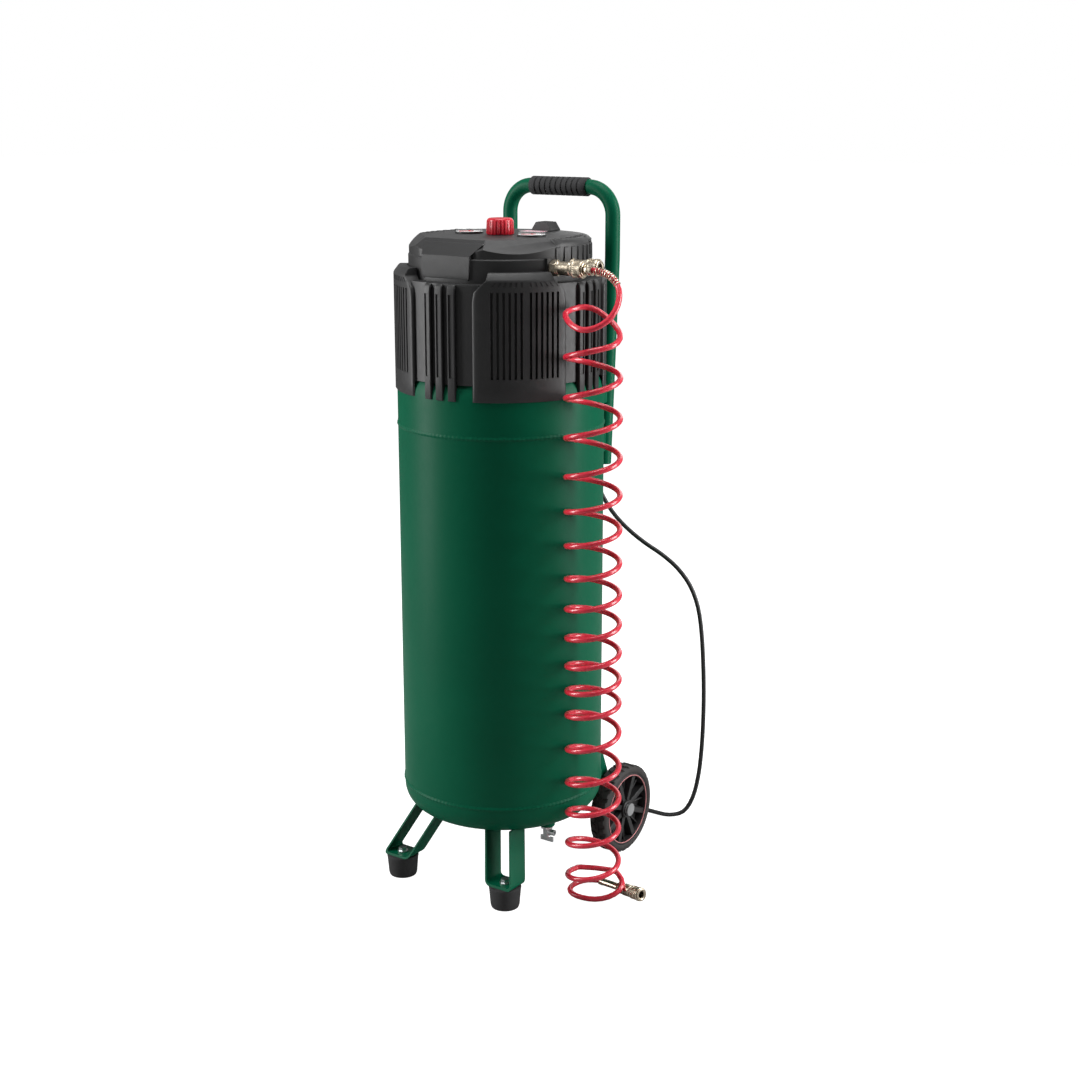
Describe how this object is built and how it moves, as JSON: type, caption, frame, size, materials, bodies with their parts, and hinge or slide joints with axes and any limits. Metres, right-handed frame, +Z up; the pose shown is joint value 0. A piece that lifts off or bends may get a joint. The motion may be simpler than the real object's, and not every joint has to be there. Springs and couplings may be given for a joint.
{
  "type": "air compressor",
  "caption": "Upright workshop air compressor: round steel tank on two rubber feet and two wheels, motor and pump under a black shroud, rear handle, quick couplings and a coiled hose.",
  "frame": {"origin": "middle of the base: floor height, half way between the widest and the deepest points", "axes": "+Z up, -Y towards the front of the shroud's nose, the side with the two air outlets is +X, the wheels are towards +Y"},
  "size_m": [0.4615, 0.4645, 1.0378],
  "materials": {
    "black_plastic": "satin",
    "black_rubber": "matte",
    "cast_alloy": "satin",
    "clear_lens": "gloss",
    "copper_pipe": "satin",
    "green_paint": "gloss",
    "label": "satin",
    "lead_black": "satin",
    "nickel_brass": "satin",
    "plain_brass": "satin",
    "red_hose": "gloss",
    "red_plastic": "gloss",
    "tyre_rubber": "matte",
    "wheel_plastic": "satin",
    "zinc_steel": "satin"
  },
  "bodies": {
    "tank": {"tank_shell": "green_paint", "handle_tube": "green_paint", "handle_grip": "black_rubber", "front_leg_left": "green_paint", "front_leg_right": "green_paint", "rubber_feet": "black_rubber", "foot_bolts": "zinc_steel", "axle_brackets": "green_paint", "axle_bolts": "zinc_steel", "axle_nuts": "zinc_steel", "drain_valve": "plain_brass", "pump_platform": "zinc_steel", "rubber_mounts": "black_rubber", "motor_housing": "cast_alloy", "motor_stator": "zinc_steel", "shaft_bearings": "zinc_steel", "crankcase": "cast_alloy", "cylinder": "cast_alloy", "cylinder_head": "cast_alloy", "intake_filter": "black_plastic", "discharge_pipe": "copper_pipe", "check_valve": "plain_brass", "pressure_switch": "black_plastic", "start_capacitor": "black_plastic", "regulator_body": "plain_brass", "outlet_manifold": "cast_alloy", "safety_valve": "plain_brass", "shroud": "black_plastic", "top_cover": "black_plastic", "cover_screws": "zinc_steel", "rating_label": "label", "gauge_cases": "black_plastic", "gauge_lenses": "clear_lens", "coupling_front_body": "nickel_brass", "coupling_rear_body": "nickel_brass", "hose_plug": "nickel_brass", "hose_lead": "red_hose", "hose_coil": "red_hose", "hose_tail": "red_hose", "hose_end_body": "nickel_brass", "cord_gland": "lead_black", "power_cord": "lead_black", "cord_coil": "lead_black", "mains_plug": "lead_black"},
    "left_wheel": {"tyre_left": "tyre_rubber", "hub_left": "wheel_plastic"},
    "right_wheel": {"tyre_right": "tyre_rubber", "hub_right": "wheel_plastic"},
    "knob": {"regulator_knob": "red_plastic"},
    "left_needle": {"gauge_needle_left": "red_plastic"},
    "right_needle": {"gauge_needle_right": "red_plastic"},
    "switch": {"switch_button": "black_plastic"},
    "front_sleeve": {"coupling_sleeve_front": "nickel_brass"},
    "rear_sleeve": {"coupling_sleeve_rear": "nickel_brass"},
    "end_sleeve": {"hose_end_sleeve": "nickel_brass"},
    "tap": {"drain_tap": "zinc_steel"},
    "relief_ring": {"safety_ring": "zinc_steel"},
    "rotor": {"motor_rotor": "zinc_steel", "cooling_fan": "black_plastic"},
    "piston": {"piston_rod": "cast_alloy"}
  },
  "joints": [
    {"name": "left_wheel_turn", "type": "hinge", "parent": "tank", "child": "left_wheel", "pos_m": [-0.1345, 0.1145, 0.0695], "axis": [1, 0, 0], "continuous": true},
    {"name": "right_wheel_turn", "type": "hinge", "parent": "tank", "child": "right_wheel", "pos_m": [0.1155, 0.1145, 0.0695], "axis": [1, 0, 0], "continuous": true},
    {"name": "pressure_knob_turn", "type": "hinge", "parent": "tank", "child": "knob", "pos_m": [-0.0095, -0.027, 0.972], "axis": [0, 0, 1], "range_deg": [-540, 540]},
    {"name": "left_gauge_sweep", "type": "hinge", "parent": "tank", "child": "left_needle", "pos_m": [-0.0645, -0.027, 0.965], "axis": [0, 0, 1], "range_deg": [-270, 0]},
    {"name": "right_gauge_sweep", "type": "hinge", "parent": "tank", "child": "right_needle", "pos_m": [0.0455, -0.027, 0.965], "axis": [0, 0, 1], "range_deg": [-270, 0]},
    {"name": "power_switch_pull", "type": "slide", "parent": "tank", "child": "switch", "axis": [0, 0, 1], "range_m": [0, 0.008]},
    {"name": "front_sleeve_slide", "type": "slide", "parent": "tank", "child": "front_sleeve", "axis": [-1, 0, 0], "range_m": [0, 0.003], "stiffness_N_per_m": 1500},
    {"name": "rear_sleeve_slide", "type": "slide", "parent": "tank", "child": "rear_sleeve", "axis": [-1, 0, 0], "range_m": [0, 0.003], "stiffness_N_per_m": 1500},
    {"name": "end_sleeve_slide", "type": "slide", "parent": "tank", "child": "end_sleeve", "axis": [-0.9664, 0.2351, -0.1045], "range_m": [0, 0.003], "stiffness_N_per_m": 1500},
    {"name": "drain_tap_turn", "type": "hinge", "parent": "tank", "child": "tap", "pos_m": [0.073, -0.027, 0.06312], "axis": [0, 0, 1], "range_deg": [0, 360]},
    {"name": "relief_ring_pull", "type": "slide", "parent": "tank", "child": "relief_ring", "axis": [0, 0, 1], "range_m": [0, 0.004], "stiffness_N_per_m": 2000},
    {"name": "motor_turn", "type": "hinge", "parent": "tank", "child": "rotor", "pos_m": [-0.0095, -0.062, 0.87188], "axis": [1, 0, 0], "continuous": true},
    {"name": "rod_turn", "type": "hinge", "parent": "rotor", "child": "piston", "pos_m": [0.0145, -0.057, 0.87188], "axis": [1, 0, 0], "continuous": true}
  ],
  "couplings": [
    {"joint": "rod_turn", "follows": "motor_turn", "ratio": -1}
  ]
}
